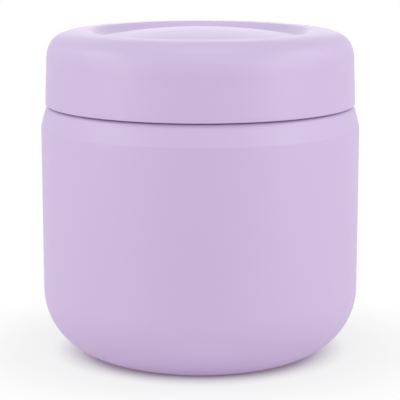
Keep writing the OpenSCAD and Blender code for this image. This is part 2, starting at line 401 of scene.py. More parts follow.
def add(tree: NodeTree, kind: str, inputs: Mapping[str | int, Any] | None = None, **settings: Any) -> Node:
    """Adds a node with its settings, values and links.

    Args:
        tree: The material's or world's nodes.
        kind: The node's Blender type.
        inputs: Socket name or number to a value, to the socket that feeds it, or to the node
            whose first output does.
        **settings: The node's own properties.

    Returns:
        The new node.
    """
    node = tree.nodes.new(kind)
    for name, value in settings.items():
        setattr(node, name, value)
    for socket, value in (inputs or {}).items():
        if isinstance(value, Node):
            value = value.outputs[0]
        if isinstance(value, NodeSocket):
            tree.links.new(value, node.inputs[socket])
        else:
            node.inputs[socket].default_value = value
    return node


class Pattern(NamedTuple):
    """What makes a surface uneven: nodes whose first outputs go from 0 to 1.

    Attributes:
        tint: How far the colour has gone over to the shade.
        wear: How far the roughness has gone from its least to its most.
        height: How far the surface stands up.
    """

    tint: Node
    wear: Node
    height: Node


@dataclass(frozen=True)
class Finish:
    """A finish with one shader. Each kind of finish has a pattern of its own.

    Attributes:
        name: What the real surface is and how it was made.
        colour: Its sRGB hex colour.
        shade: The colour of its faint darker patches or lines, which on the bead foam is painted shade in the
            grooves.
        roughness: How rough it is, from 0 to 1.
        ior: Index of refraction, which a metal leaves alone.
        metallic: 1 for a metal.
        soft: Share of the light that scatters under the surface, as in silicone.
        scatter_mm: How far that light goes.
        clear: Share of the light that passes through, as in glass.
        spread: How much the roughness varies to either side.
        depth_mm: Height of the pattern's relief.
        sunk: Whether the relief is pressed in instead of standing up.
    """

    name: str
    colour: str
    shade: str
    roughness: float
    ior: float = 1.5
    metallic: float = 0.0
    soft: float = 0.0
    scatter_mm: float = 0.5
    clear: float = 0.0
    spread: float = 0.05
    depth_mm: float = 0.004
    sunk: bool = False

    def pattern(self, tree: NodeTree, place: NodeSocket) -> Pattern:
        """Adds the finish's pattern.

        Args:
            tree: The material's nodes.
            place: Object coordinates.

        Returns:
            What varies the shader.
        """
        raise NotImplementedError(self.name)

    def make(self) -> Material:
        """Builds the material: its pattern varies the shader's colour, roughness and normal.

        Returns:
            The finished material.
        """
        material = bpy.data.materials.new(self.name)
        tree = cleared(material)
        pattern = self.pattern(tree, add(tree, "ShaderNodeTexCoord").outputs["Object"])
        tint = add(
            tree,
            "ShaderNodeMix",
            {"Factor": pattern.tint, 6: linear(self.colour), 7: linear(self.shade)},
            data_type="RGBA",
        )
        least, most = self.roughness - self.spread, self.roughness + self.spread
        wear = add(tree, "ShaderNodeMapRange", {"Value": pattern.wear, "To Min": least, "To Max": most})
        relief = {"Height": pattern.height, "Distance": self.depth_mm * MM, "Strength": 1.0}
        bump = add(tree, "ShaderNodeBump", relief, invert=self.sunk)
        shader = add(
            tree,
            "ShaderNodeBsdfPrincipled",
            {
                "Base Color": linear(self.colour),
                "Roughness": self.roughness,
                "IOR": self.ior,
                "Metallic": self.metallic,
                "Subsurface Weight": self.soft,
                "Subsurface Scale": self.scatter_mm * MM,
                "Transmission Weight": self.clear,
                "Normal": bump,
            },
        )
        tree.links.new(tint.outputs[2], shader.inputs["Base Color"])
        tree.links.new(wear.outputs[0], shader.inputs["Roughness"])
        add(tree, "ShaderNodeOutputMaterial", {"Surface": shader})
        return material


@dataclass(frozen=True)
class Grained(Finish):
    """A surface of fine irregular grains with wide patches of tint.

    Attributes:
        grain_mm: Width of one grain.
        grain_detail: How many finer layers a grain's noise has.
        patch_grains: Width of a patch, in grains.
        patch_detail: How many finer layers a patch's noise has.
        drawn_out: How far the patches are pulled out of shape.
        worn_grains: Whether the roughness changes from grain to grain, or else with the patches.
    """

    grain_mm: float = 0.3
    grain_detail: float = 4.0
    patch_grains: float = 9.0
    patch_detail: float = 2.0
    drawn_out: float = 0.0
    worn_grains: bool = True

    def pattern(self, tree: NodeTree, place: NodeSocket) -> Pattern:
        """Grains as relief, in patches of tint.

        Args:
            tree: The material's nodes.
            place: Object coordinates.

        Returns:
            The patches for tint, the grains for height, and one of them for wear.
        """
        grains = {"Scale": per_mm(self.grain_mm), "Detail": self.grain_detail}
        patches = {
            "Scale": per_mm(self.patch_grains * self.grain_mm),
            "Detail": self.patch_detail,
            "Distortion": self.drawn_out,
        }
        grain, patch = (
            add(tree, "ShaderNodeTexNoise", {"Vector": place, **layer}) for layer in (grains, patches)
        )
        return Pattern(patch, grain if self.worn_grains else patch, grain)


@dataclass(frozen=True)
class PowderCoat(Grained):
    """Baked polyester powder on steel: an even satin film whose skin has a faint orange peel.

    A grain is one bump of the peel, 1 to 3 mm wide on real ones, and a patch is a slow drift in
    the film's thickness.
    """

    spread: float = 0.03
    depth_mm: float = 0.0035
    grain_mm: float = 1.6
    grain_detail: float = 1.5
    patch_grains: float = 15.0
    worn_grains: bool = False


@dataclass(frozen=True)
class MouldedPlastic(Grained):
    """Injection-moulded polypropylene: a fine spark-eroded grain, with slow flow marks as patches.

    Real grains are about 0.1 mm wide, too fine to show, so they are drawn at two and a half
    times that.
    """

    spread: float = 0.025
    depth_mm: float = 0.0012
    grain_mm: float = 0.25
    grain_detail: float = 2.0
    patch_grains: float = 120.0
    patch_detail: float = 3.0
    drawn_out: float = 0.6
    worn_grains: bool = False


@dataclass(frozen=True)
class TurnedSteel(Finish):
    """Stainless steel sheet, spun and polished with a belt: fine lines run round the axis.

    Attributes:
        line_mm: Distance between the lines. Real ones are about 0.05 mm apart, too fine to
            show, so they are drawn four times as far apart or more.
        swirl: How quickly a line fades along its way round.
    """

    spread: float = 0.06
    line_mm: float = 0.22
    swirl: float = 2.5

    def pattern(self, tree: NodeTree, place: NodeSocket) -> Pattern:
        """Lines as noise that changes fast with radius and height and slowly with angle.

        Args:
            tree: The material's nodes.
            place: Object coordinates.

        Returns:
            The lines, for all three.
        """
        split = add(tree, "ShaderNodeSeparateXYZ", {"Vector": place})
        flat = add(tree, "ShaderNodeCombineXYZ", {"X": split.outputs["X"], "Y": split.outputs["Y"]})
        radius, unit = (
            add(tree, "ShaderNodeVectorMath", {0: flat}, operation=kind) for kind in ("LENGTH", "NORMALIZE")
        )
        turn = add(tree, "ShaderNodeSeparateXYZ", {"Vector": unit})
        across = per_mm(self.line_mm)
        scaled = [
            add(tree, "ShaderNodeMath", {0: value, 1: factor}, operation="MULTIPLY")
            for value, factor in (
                (radius.outputs["Value"], across),
                (split.outputs["Z"], across),
                (turn.outputs["X"], self.swirl),
                (turn.outputs["Y"], self.swirl),
            )
        ]
        vector = add(tree, "ShaderNodeCombineXYZ", dict(zip("XYZ", scaled)))
        where = {"Vector": vector, "W": scaled[3], "Scale": 1.0, "Detail": 3.0}
        lines = add(tree, "ShaderNodeTexNoise", where, noise_dimensions="4D")
        return Pattern(lines, lines, lines)


@dataclass(frozen=True)
class Crinkled(Finish):
    """Thin foil wound by hand: flat facets that meet in sharp creases.

    Attributes:
        facet_mm: Width of one facet.
        small: How many small facets go into its width.
        small_depth: Depth of the creases between those, as a share of the others'.
    """

    depth_mm: float = 0.25
    facet_mm: float = 6.0
    small: float = 2.7
    small_depth: float = 0.4

    def pattern(self, tree: NodeTree, place: NodeSocket) -> Pattern:
        """Creases from two sizes of cells.

        Args:
            tree: The material's nodes.
            place: Object coordinates.

        Returns:
            The small cells for tint, the large for wear, both for height.
        """
        wide, fine = (
            add(
                tree,
                "ShaderNodeTexVoronoi",
                {"Vector": place, "Scale": per_mm(size)},
                feature="F1",
                distance="MANHATTAN",
            )
            for size in (self.facet_mm, self.facet_mm / self.small)
        )
        both = add(tree, "ShaderNodeMath", {0: fine, 1: self.small_depth, 2: wide}, operation="MULTIPLY_ADD")
        return Pattern(fine, wide, both)


@dataclass(frozen=True)
class BeadFoam(Finish):
    """Expanded polystyrene: white beads pressed together, with painted shade darkening the grooves between
    them.

    Attributes:
        bead_mm: Width of one bead.
        groove: Width of the groove between two beads, as a share of a bead.
    """

    depth_mm: float = 0.35
    sunk: bool = True
    bead_mm: float = 3.2
    groove: float = 0.16

    def pattern(self, tree: NodeTree, place: NodeSocket) -> Pattern:
        """Grooves from the distance to the nearest border between cells.

        Args:
            tree: The material's nodes.
            place: Object coordinates.

        Returns:
            The grooves, for all three: relief and wear, and painted shade in the tint.
        """
        beads = {"Vector": place, "Scale": per_mm(self.bead_mm)}
        border = add(tree, "ShaderNodeTexVoronoi", beads, feature="DISTANCE_TO_EDGE")
        near = {"Value": border, "From Min": self.groove, "From Max": 0.0}
        groove = add(tree, "ShaderNodeMapRange", near, interpolation_type="SMOOTHSTEP")
        # The grooves' darker tint is painted shade; their relief is a real bump.
        return Pattern(groove, groove, groove)


# Satin lilac on the jar and, as coloured plastic, on the lid: even, with soft broad highlights
LILAC_COAT = PowderCoat("polyester powder coat, satin lilac", "#c9b7d9", "#c7b6d8", 0.475)
LILAC_PLASTIC = MouldedPlastic("moulded polypropylene, lilac, satin grain", "#c9b7d9", "#c7b6d8", 0.475)
# The inner moulding is the same plastic with less colour
PALE_PLASTIC = MouldedPlastic("moulded polypropylene, pale lilac", "#d3cbdb", "#d0c7d8", 0.5)
# 18/8 stainless steel: rings that stretch a highlight across them, fine in the cup, coarse below
CUP_STEEL = TurnedSteel("stainless steel, spun and belt polished", "#c9c8c5", "#b3b2af", 0.27, metallic=1.0)
BASE_STEEL = TurnedSteel(
    "stainless steel, spun disc", "#c4c3c1", "#a9a8a6", 0.33, metallic=1.0, line_mm=0.35, depth_mm=0.008
)
# Pickled sheet is grey and dull, and a weld bead has a coarser, darker skin
PLATE_STEEL = Grained(
    "stainless steel, pressed and pickled", "#b9b9b8", "#a6a6a6", 0.42, metallic=1.0, grain_mm=0.2
)
WELD_STEEL = Grained(
    "stainless steel, laser weld bead", "#b4b2ae", "#8f8b84", 0.35, metallic=1.0, grain_mm=0.5, depth_mm=0.03
)
# Bright foil glints in broken facets
WRAP_FOIL = Crinkled("aluminium foil, wound and creased", "#dcdcde", "#c4c4c6", 0.2, metallic=1.0)
# Solder glass is dark and has a wet shine
SEAL_GLASS = Grained(
    "solder glass, melted in place",
    "#4c574f",
    "#38413b",
    0.12,
    ior=1.7,
    grain_mm=0.8,
    depth_mm=0.02,
    clear=0.25,
)
# Sintered powder is charcoal grey with almost no shine
SINTERED = Grained(
    "getter alloy, sintered powder", "#56565a", "#3f3f43", 0.78, ior=2.2, grain_mm=0.25, depth_mm=0.05
)
# Moulded beads are dull white, with painted shade in the thin grooves between them
WHITE_FOAM = BeadFoam("expanded polystyrene, moulded beads", "#f1efea", "#d6d3cc", 0.85, ior=1.45)
# Silicone is milky, with a soft shine
SILICONE = Grained(
    "silicone rubber, compression moulded",
    "#dedae3",
    "#d6d1dc",
    0.4,
    ior=1.41,
    grain_mm=0.6,
    depth_mm=0.003,
    soft=0.3,
)


# ---- Sub-assemblies ----


@dataclass
class JarWall:
    """The drawn steel outer wall: standing ring, rounded bottom, wall, coned shoulder and neck.

    The lilac coat ends where the ledge meets the neck, so the coated sheet and the bare neck
    are two pieces that meet face to face there.
    """

    body_r: float = 50.0
    corner_r: float = 21.0
    foot_in_r: float = 27.0
    foot_lip_h: float = 2.4
    lip_edge_r: float = 0.4
    sheet: float = 0.6
    ledge_z: float = 79.3
    ledge_r: float = 48.3
    shoulder_h: float = 6.5
    bend_r: float = 3.0
    ledge_edge_r: float = 2.1
    neck_r: float = 43.3
    fillet_r: float = 1.0
    rim_z: float = 93.0
    roll_r: float = 1.65
    weld_w: float = 0.9
    weld_h: float = 0.06
    ripples: int = 240
    ripple: float = 0.05
    around: int = 320
    weld_around: int = 960
    thread: Thread = Thread(wall_r=43.3, side=1, start_z=83.2, start_deg=0.0, low=80.4, high=91.4)

    @property
    def paint_r(self) -> float:
        """Radius at which the coat ends."""
        return self.neck_r + self.fillet_r

    def wall_outline(self) -> Array:
        """The coated sheet: up the outside to the ledge and back down the inside.

        Returns:
            Outline points, in millimetres.
        """
        t, foot_r = self.sheet, self.body_r - self.corner_r
        slope = math.atan((self.body_r - self.ledge_r) / self.shoulder_h)
        lean = math.degrees(slope)
        bend_z = self.ledge_z - self.shoulder_h - self.bend_r * math.tan(slope / 2.0)
        bend = (self.body_r - self.bend_r, bend_z)
        edge_in = self.ledge_edge_r * (1.0 - math.sin(slope)) / math.cos(slope)
        edge = (self.ledge_r - edge_in, self.ledge_z - self.ledge_edge_r)
        corner = (foot_r, self.corner_r)
        out = joined(
            run((self.foot_in_r, self.foot_lip_h), (self.foot_in_r, self.lip_edge_r), step=0.8),
            arc((self.foot_in_r + self.lip_edge_r, self.lip_edge_r), self.lip_edge_r, 180, 270, 8),
            arc(corner, self.corner_r, 270, 360, 56),
            run((self.body_r, self.corner_r), (self.body_r, bend_z), step=2.5),
            arc(bend, self.bend_r, 0, lean, 10),
            arc(edge, self.ledge_edge_r, lean, 90, 10),
            run((edge[0], self.ledge_z), (self.paint_r, self.ledge_z), step=1.0),
        )
        back = joined(
            run((self.paint_r, self.ledge_z - t), (edge[0], self.ledge_z - t), step=1.5),
            arc(edge, self.ledge_edge_r - t, 90, lean, 8),
            arc(bend, self.bend_r - t, lean, 0, 10),
            run((self.body_r - t, bend_z), (self.body_r - t, self.corner_r), step=5.0),
            arc(corner, self.corner_r - t, 360, 270, 28),
            run((self.foot_in_r + t, t), (self.foot_in_r + t, self.foot_lip_h), step=0.9),
        )
        return joined(out, back)

    def neck_outline(self) -> Array:
        """The bare neck: fillet, threaded wall and the outer half of the rolled rim.

        Returns:
            Outline points, in millimetres.
        """
        t, r = self.sheet, self.roll_r
        roll = (self.neck_r - r, self.rim_z - r)
        fillet = (self.paint_r, self.ledge_z + self.fillet_r)
        return joined(
            arc(fillet, self.fillet_r, 270, 180, 10),
            run((self.neck_r, fillet[1]), (self.neck_r, roll[1]), step=0.14),
            arc(roll, r, 0, 90, 16),
            arc(roll, r - t, 90, 0, 12),
            run((self.neck_r - t, roll[1]), (self.neck_r - t, self.ledge_z - t), step=0.3),
            run((self.neck_r - t, self.ledge_z - t), (self.paint_r, self.ledge_z - t), step=1.0),
        )

    def weld_outline(self) -> Array:
        """The weld bead on the rim: a flat oval, half sunk in the sheet.

        Returns:
            Outline points, in millimetres.
        """
        angle = np.linspace(0.0, 2.0 * np.pi, 24, endpoint=False)
        return np.column_stack(
            [
                self.neck_r - self.roll_r + self.weld_w / 2.0 * np.cos(angle),
                self.rim_z + self.weld_h * np.sin(angle),
            ]
        )

    def weld_form(self, angle: Array, radius: Array, height: Array) -> tuple[Array, Array]:
        """Ripples of the weld pool: the bead's height times 1 - ripple (1 + cos(ripples a)) at angle a."""
        share = 1.0 - self.ripple * (1.0 + np.cos(self.ripples * angle))
        return radius, self.rim_z + (height - self.rim_z) * share

    def build(self, coat: Material, steel: Material, weld: Material) -> None:
        """Builds the wall, the neck and the weld bead.

        Args:
            coat: Finish of the coated sheet.
            steel: Finish of the neck.
            weld: Finish of the weld bead.
        """
        wall = turned_mesh("jar_coated_wall", self.wall_outline(), self.around)
        add_piece(wall, Body.JAR, Slot.COATED, coat, "outer_shell")
        neck = turned_mesh(
            "jar_threaded_neck",
            self.neck_outline(),
            self.around,
            self.thread.form(self.sheet),
            crease=THREAD_CREASE_DEG,
        )
        add_piece(neck, Body.JAR, Slot.CUP, steel, "outer_shell")
        bead = turned_mesh("jar_rim_weld", self.weld_outline(), self.weld_around, self.weld_form)
        add_piece(bead, Body.JAR, Slot.CUP, weld)


@dataclass
class FoodCup:
    """The inner cup: flat floor, rounded corner, wall, and a neck that flares to the rim."""

    cavity_r: float = 44.5
    mouth_r: float = 40.0
    floor_z: float = 8.0
    corner_r: float = 14.0
    sheet: float = 0.5
    narrow_low: float = 72.3
    narrow_high: float = 80.3
    rim_z: float = 93.0
    roll_r: float = 1.65
    around: int = 288

    def side(self, out: float, step: float) -> Array:
        """The side from the floor to the rim.

        Args:
            out: How far it is pushed outwards.
            step: Longest distance between points on its straight part.

        Returns:
            Outline points from the floor's edge up to the top of the rim.
        """
        floor_r = self.cavity_r - self.corner_r
        height = np.linspace(self.narrow_low, self.narrow_high, 25)
        share = smoothstep(height, self.narrow_low, self.narrow_high)
        narrow = np.column_stack([self.cavity_r + out - (self.cavity_r - self.mouth_r) * share, height])
        roll_z = self.rim_z - self.roll_r
        return joined(
            arc((floor_r, self.floor_z + self.corner_r), self.corner_r + out, 270, 360, 32),
            run(
                (self.cavity_r + out, self.floor_z + self.corner_r),
                (self.cavity_r + out, self.narrow_low),
                step=step,
            ),
            narrow,
            run((self.mouth_r + out, self.narrow_high), (self.mouth_r + out, roll_z), step=step),
            arc((self.mouth_r + self.roll_r, roll_z), self.roll_r - out, 180, 90, 14),
        )

    def outline(self) -> Array:
        """The cup as one closed sheet, from its floor's middle out to the rim and back below.

        Returns:
            Outline points, in millimetres.
        """
        floor_r = self.cavity_r - self.corner_r
        return joined(
            run((0.0, self.floor_z), (floor_r, self.floor_z), step=1.5),
            self.side(0.0, 2.5),
            self.side(self.sheet, 5.0)[::-1],
            run((floor_r, self.floor_z - self.sheet), (0.0, self.floor_z - self.sheet), step=5.0),
        )

    def build(self, steel: Material) -> None:
        """Builds the cup."""
        mesh = turned_mesh("food_cup", self.outline(), self.around)
        add_piece(mesh, Body.JAR, Slot.CUP, steel, "inner_liner")


@dataclass
class Base:
    """What closes the jar from below: the cover disc, the end plate, its glass seal and the getter."""

    cover_r: float = 26.7
    low: float = 1.3
    high: float = 1.8
    edge: float = 0.3
    step_r: float = 18.5
    step_w: float = 1.6
    step_h: float = 0.22
    ring_r: float = 22.6
    ring_w: float = 1.4
    ring_h: float = 0.12
    around: int = 256

    def cover_outline(self) -> Array:
        """The cover disc: its underside is drawn in at the middle and has one pressed ring.

        The height of the underside is low + step_h where r < step_r, eased over step_w, plus a
        groove of one cosine wave, ring_w wide and ring_h deep, about ring_r.

        Returns:
            Outline points, in millimetres.
        """
        r = np.linspace(0.0, self.cover_r - self.edge, 120)
        half = self.step_w / 2.0
        step = self.step_h * (1.0 - smoothstep(r, self.step_r - half, self.step_r + half))
        near = np.clip((r - self.ring_r) / (self.ring_w / 2.0), -1.0, 1.0)
        ring = self.ring_h * (0.5 + 0.5 * np.cos(np.pi * near))
        corner = (self.cover_r - self.edge, self.low + self.edge)
        return joined(
            np.column_stack([r, self.low + step + ring]),
            arc(corner, self.edge, 270, 360, 8),
            run((self.cover_r, self.high), (0.0, self.high), step=3.0),
        )

    def build(self, steel: Material) -> None:
        """Builds the cover disc."""
        mesh = turned_mesh("base_cover_disc", self.cover_outline(), self.around)
        add_piece(mesh, Body.JAR, Slot.BASE, steel, "base_cover")

    def dress(self, plate: Material, glass: Material, getter: Material) -> None:
        """Finishes the pieces above the cover.

        Args:
            plate: Finish of the end plate and the getter's clip.
            glass: Finish of the solder glass.
            getter: Finish of the getter pill.
        """
        dress_nodes(plate, "base_plate", "getter_clip")
        dress_nodes(glass, "vacuum_seal")
        dress_nodes(getter, "getter_pellet")


@dataclass
class Insulation:
    """The radiation foil in the vacuum and the foam in the lid."""

    def dress(self, foil: Material, foam: Material) -> None:
        """Finishes the foil of the jar and the foam of the lid."""
        dress_nodes(foil, "foil_wrap", "foil_disc")
        dress_nodes(foam, "foam_insert")


@dataclass
class LidCover:
    """The lid's outer moulding: drafted side, soft top corner, crest ring and dished middle."""

    low: float = 79.65
    low_r: float = 48.6
    edge_r: float = 0.4
    corner_z: float = 91.8
    corner_r: float = 48.1
    corner_power: float = 3.0
    crest_r: float = 35.2
    crest_z: float = 102.5
    dome_r: float = 30.5
    dome_curve_r: float = 174.0
    dome_rise: float = 0.5
    wall: float = 1.6
    bead_r: float = 45.9
    bead_top: float = 80.2
    bead_bevel: float = 0.15
    rib_in_r: float = 41.0
    rib_out_r: float = 42.4
    rib_z: float = 96.0
    rib_clear: float = 0.05
    around: int = 320

    def corner(self, t: float) -> Array:
        """The top corner: a quarter superellipse, |x|^n + |z|^n = 1, from the side to the crest.

        Args:
            t: How far it is pulled in by the wall.

        Returns:
            Outline points from the side's upper end up to the crest.
        """
        angle = np.linspace(0.0, np.pi / 2.0, 4001)
        power = 2.0 / self.corner_power
        across, up = np.abs(np.cos(angle)) ** power, np.sin(angle) ** power
        across[-1] = 0.0
        fine = np.column_stack(
            [
                self.crest_r + (self.corner_r - t - self.crest_r) * across,
                self.corner_z + (self.crest_z - t - self.corner_z) * up,
            ]
        )
        return even(fine, 0.3)

    def dish(self, t: float, count: int) -> Array:
        """The dished middle: a sphere's cap whose edge rises to the crest in a smooth step.

        The height is dome (1 - s) + crest_z s, where s is a smooth step from dome_r to crest_r.

        Args:
            t: How far it is pushed down by the wall.
            count: Number of points.

        Returns:
            Outline points from the crest in to the axis.
        """
        r = np.concatenate(
            [np.linspace(self.crest_r, self.dome_r, count), np.linspace(self.dome_r, 0.0, count)[1:]]
        )
        dome = self.crest_z + self.dome_rise - self.dome_curve_r + np.sqrt(self.dome_curve_r**2 - r**2)
        share = smoothstep(r, self.dome_r, self.crest_r)
        return np.column_stack([r, dome * (1.0 - share) + self.crest_z * share - t])

    def outline(self) -> Array:
        """The moulding as one closed outline, from the dome's top over the outside and back inside.

        Returns:
            Outline points, in millimetres.
        """
        e, side_in = self.edge_r, self.low_r - self.wall
        inner = self.corner(self.wall)
        rib_outer = inner[inner[:, 0] > self.rib_out_r + self.rib_clear]
        rib_inner = inner[inner[:, 0] < self.rib_in_r - self.rib_clear]
        root = [(r, float(np.interp(-r, -inner[:, 0], inner[:, 1]))) for r in (self.rib_out_r, self.rib_in_r)]
        rib = run(root[0], (self.rib_out_r, self.rib_z), (self.rib_in_r, self.rib_z), root[1], step=1.2)
        return joined(
            self.dish(0.0, 36)[::-1],
            self.corner(0.0)[::-1],
            run((self.corner_r, self.corner_z), (self.low_r, self.low + e), step=1.2),
            arc((self.low_r - e, self.low + e), e, 0, -90, 8),
            run((self.low_r - e, self.low), (self.bead_r + self.bead_bevel, self.low), step=0.8),
            run(
                (self.bead_r, self.low + self.bead_bevel),
                (self.bead_r, self.bead_top - self.bead_bevel),
                (side_in, self.bead_top),
                (self.corner_r - self.wall, self.corner_z),
                step=1.6,
            ),
            rib_outer,
            rib,
            rib_inner,
            self.dish(self.wall, 20),
        )

    def build(self, plastic: Material) -> None:
        """Builds the moulding."""
        mesh = turned_mesh("lid_outer_moulding", self.outline(), self.around)
        add_piece(mesh, Body.LID, Slot.LID, plastic, "lid_cover")


@dataclass
class LidCore:
    """The lid's inner moulding: threaded skirt, ceiling and the plug that fills the mouth."""

    skirt_in_r: float = 45.0
    skirt_r: float = 46.2
    skirt_z: float = 80.25
    bevel: float = 0.3
    out_bevel: float = 0.2
    ceiling_z: float = 94.5
    ceiling_top: float = 96.0
    ceiling_bevel: float = 0.5
    plug_r: float = 39.0
    plug_z: float = 86.0
    plug_corner_r: float = 2.0
    wall: float = 1.5
    bead_r: float = 39.6
    bead_low: float = 91.6
    bead_mid: float = 92.2
    bead_top: float = 92.85
    bead_bevel: float = 0.2
    gate_flat_r: float = 0.8
    gate_r: float = 1.6
    gate_h: float = 0.25
    well_r: float = 4.16
    well_out_r: float = 4.96
    well_h: float = 0.45
    pin_circle_r: float = 27.0
    pin_r: float = 2.5
    pin_ease: float = 0.25
    pin_depth: float = 0.12
    pins: int = 6
    around: int = 320
    cover: LidCover = field(default_factory=LidCover)
    gap: float = 0.3
    thread: Thread = Thread(wall_r=45.0, side=-1, start_z=82.45, start_deg=57.5, low=80.65, high=93.9)

    def outline(self) -> Array:
        """The moulding as one closed outline, from the plug's middle out to the skirt and back above.

        Returns:
            Outline points, in millimetres.
        """
        corner = (self.plug_r - self.plug_corner_r, self.plug_z + self.plug_corner_r)
        inside = self.cover.corner(self.cover.wall)
        height = np.linspace(self.cover.corner_z, self.ceiling_top, 12)
        shoulder = np.column_stack([np.interp(height, inside[:, 1], inside[:, 0]) - self.gap, height])
        foam_r = self.plug_r - self.wall
        return joined(
            run((0.0, self.plug_z), (corner[0], self.plug_z), step=0.55),
            arc(corner, self.plug_corner_r, 270, 360, 12),
            run((self.plug_r, corner[1]), (self.plug_r, self.bead_low), step=0.6),
            run(
                (self.bead_r, self.bead_mid),
                (self.bead_r, self.bead_top - self.bead_bevel),
                (self.plug_r, self.bead_top),
                (self.plug_r, self.ceiling_z),
                (self.skirt_in_r - self.ceiling_bevel, self.ceiling_z),
                (self.skirt_in_r, self.ceiling_z - self.ceiling_bevel),
                step=0.6,
            ),
            run((self.skirt_in_r, self.thread.high), (self.skirt_in_r, self.skirt_z + self.bevel), step=0.14),
            run(
                (self.skirt_in_r + self.bevel, self.skirt_z),
                (self.skirt_r - self.out_bevel, self.skirt_z),
                step=0.4,
            ),
            run(
                (self.skirt_r, self.skirt_z + self.out_bevel), (self.skirt_r, self.cover.corner_z), step=2.0
            ),
            shoulder,
            run((shoulder[-1, 0], self.ceiling_top), (foam_r, self.ceiling_top), step=2.0),
            run((foam_r, self.ceiling_top), (foam_r, self.plug_z + self.wall), step=2.0),
            run((foam_r, self.plug_z + self.wall), (0.0, self.plug_z + self.wall), step=3.0),
        )

    def form(self, angle: Array, radius: Array, height: Array) -> tuple[Array, Array]:
        """The thread, and the marks that the mould leaves on the plug's underside.

        The gate's stub is a low dome in a round well at the middle, and each ejector pin leaves a
        round flat pressed in by pin_depth. All edges are eased by a smooth step.

        Args:
            angle: Angles of the grid's points in radians.
            radius: Their radii.
            height: Their heights.

        Returns:
            Their new radii and heights.
        """
        radius, height = self.thread.form()(angle, radius, height)
        under = np.abs(height - self.plug_z) < SAME_POINT
        spoke = 2.0 * np.pi / self.pins
        turn = np.mod(angle + spoke / 2.0, spoke) - spoke / 2.0
        off = np.hypot(radius * np.cos(turn) - self.pin_circle_r, radius * np.sin(turn))
        pin = self.pin_depth * (1.0 - smoothstep(off, self.pin_r - self.pin_ease, self.pin_r + self.pin_ease))
        well = self.well_h * (1.0 - smoothstep(radius, self.well_r, self.well_out_r))
        gate = self.gate_h * (1.0 - smoothstep(radius, self.gate_flat_r, self.gate_r))
        return radius, height + np.where(under, pin + well - gate, 0.0)

    def build(self, plastic: Material) -> None:
        """Builds the moulding.

        Args:
            plastic: Its finish.
        """
        mesh = turned_mesh(
            "lid_inner_moulding", self.outline(), self.around, self.form, crease=THREAD_CREASE_DEG
        )
        add_piece(mesh, Body.LID, Slot.CORE, plastic, "lid_core")


@dataclass
class SealingRing:
    """The silicone ring that the lid presses on the rim: two lips with a channel between them."""

    in_r: float = 39.3
    out_r: float = 43.0
    low: float = 93.15
    high: float = 94.35
    round_r: float = 0.28
    lip_in_r: float = 40.35
    lip_out_r: float = 42.35
    lip_w: float = 0.45
    channel: float = 0.2
    around: int = 288

    def outline(self) -> Array:
        """A rounded bar whose underside rises by channel between its two lips and outside them.

        A lip's height is exp(-((r - lip_r) / lip_w)^2).

        Returns:
            Outline points, in millimetres.
        """
        e = self.round_r
        r = np.linspace(self.in_r + e, self.out_r - e, 49)[1:-1]
        lip = sum(np.exp(-(((r - at) / self.lip_w) ** 2)) for at in (self.lip_in_r, self.lip_out_r))
        under = np.column_stack([r, self.low + self.channel * (1.0 - np.clip(lip / lip.max(), 0.0, 1.0))])
        lift = self.low + self.channel
        return joined(
            arc((self.in_r + e, lift + e), e, 180, 270, 6),
            under,
            arc((self.out_r - e, lift + e), e, 270, 360, 6),
            run((self.out_r, lift + e), (self.out_r, self.high - e), step=0.3),
            arc((self.out_r - e, self.high - e), e, 0, 90, 6),
            run((self.out_r - e, self.high), (self.in_r + e, self.high), step=0.4),
            arc((self.in_r + e, self.high - e), e, 90, 180, 6),
            run((self.in_r, self.high - e), (self.in_r, lift + e), step=0.3)[:-1],
        )

    def build(self, rubber: Material) -> None:
        """Builds the ring."""
        mesh = turned_mesh("lid_sealing_ring", self.outline(), self.around)
        add_piece(mesh, Body.SEAL, Slot.SILICONE, rubber, "lid_gasket")


# ---- Studio ----


@dataclass(frozen=True)
class SoftBox:
    """A rectangular white lamp that faces the jar.

    Attributes:
        name: Its name.
        azimuth: Angle round the jar in degrees, from the camera's side towards the picture's right.
        rise: Angle in degrees above the level of the point that it faces.
        size: Its width and height in metres.
        power: Its power in watts.
        reach: Its distance from the point that it faces, in metres.
    """

    name: str
    azimuth: float
    rise: float
    size: tuple[float, float]
    power: float
    reach: float = 1.2

    def build(self, aim: Vector) -> None:
        """Hangs the lamp.

        Args:
            aim: The point that it faces, in metres.
        """
        lamp = bpy.data.lights.new(self.name, "AREA")
        lamp.shape = "RECTANGLE"
        lamp.size, lamp.size_y = self.size
        lamp.energy = self.power
        holder = put(self.name, lamp)
        turn, lift = math.radians(self.azimuth), math.radians(self.rise)
        away = Vector((math.sin(turn) * math.cos(lift), -math.cos(turn) * math.cos(lift), math.sin(lift)))
        holder.location = aim + self.reach * away
        holder.rotation_euler = (-away).to_track_quat("-Z", "Y").to_euler()


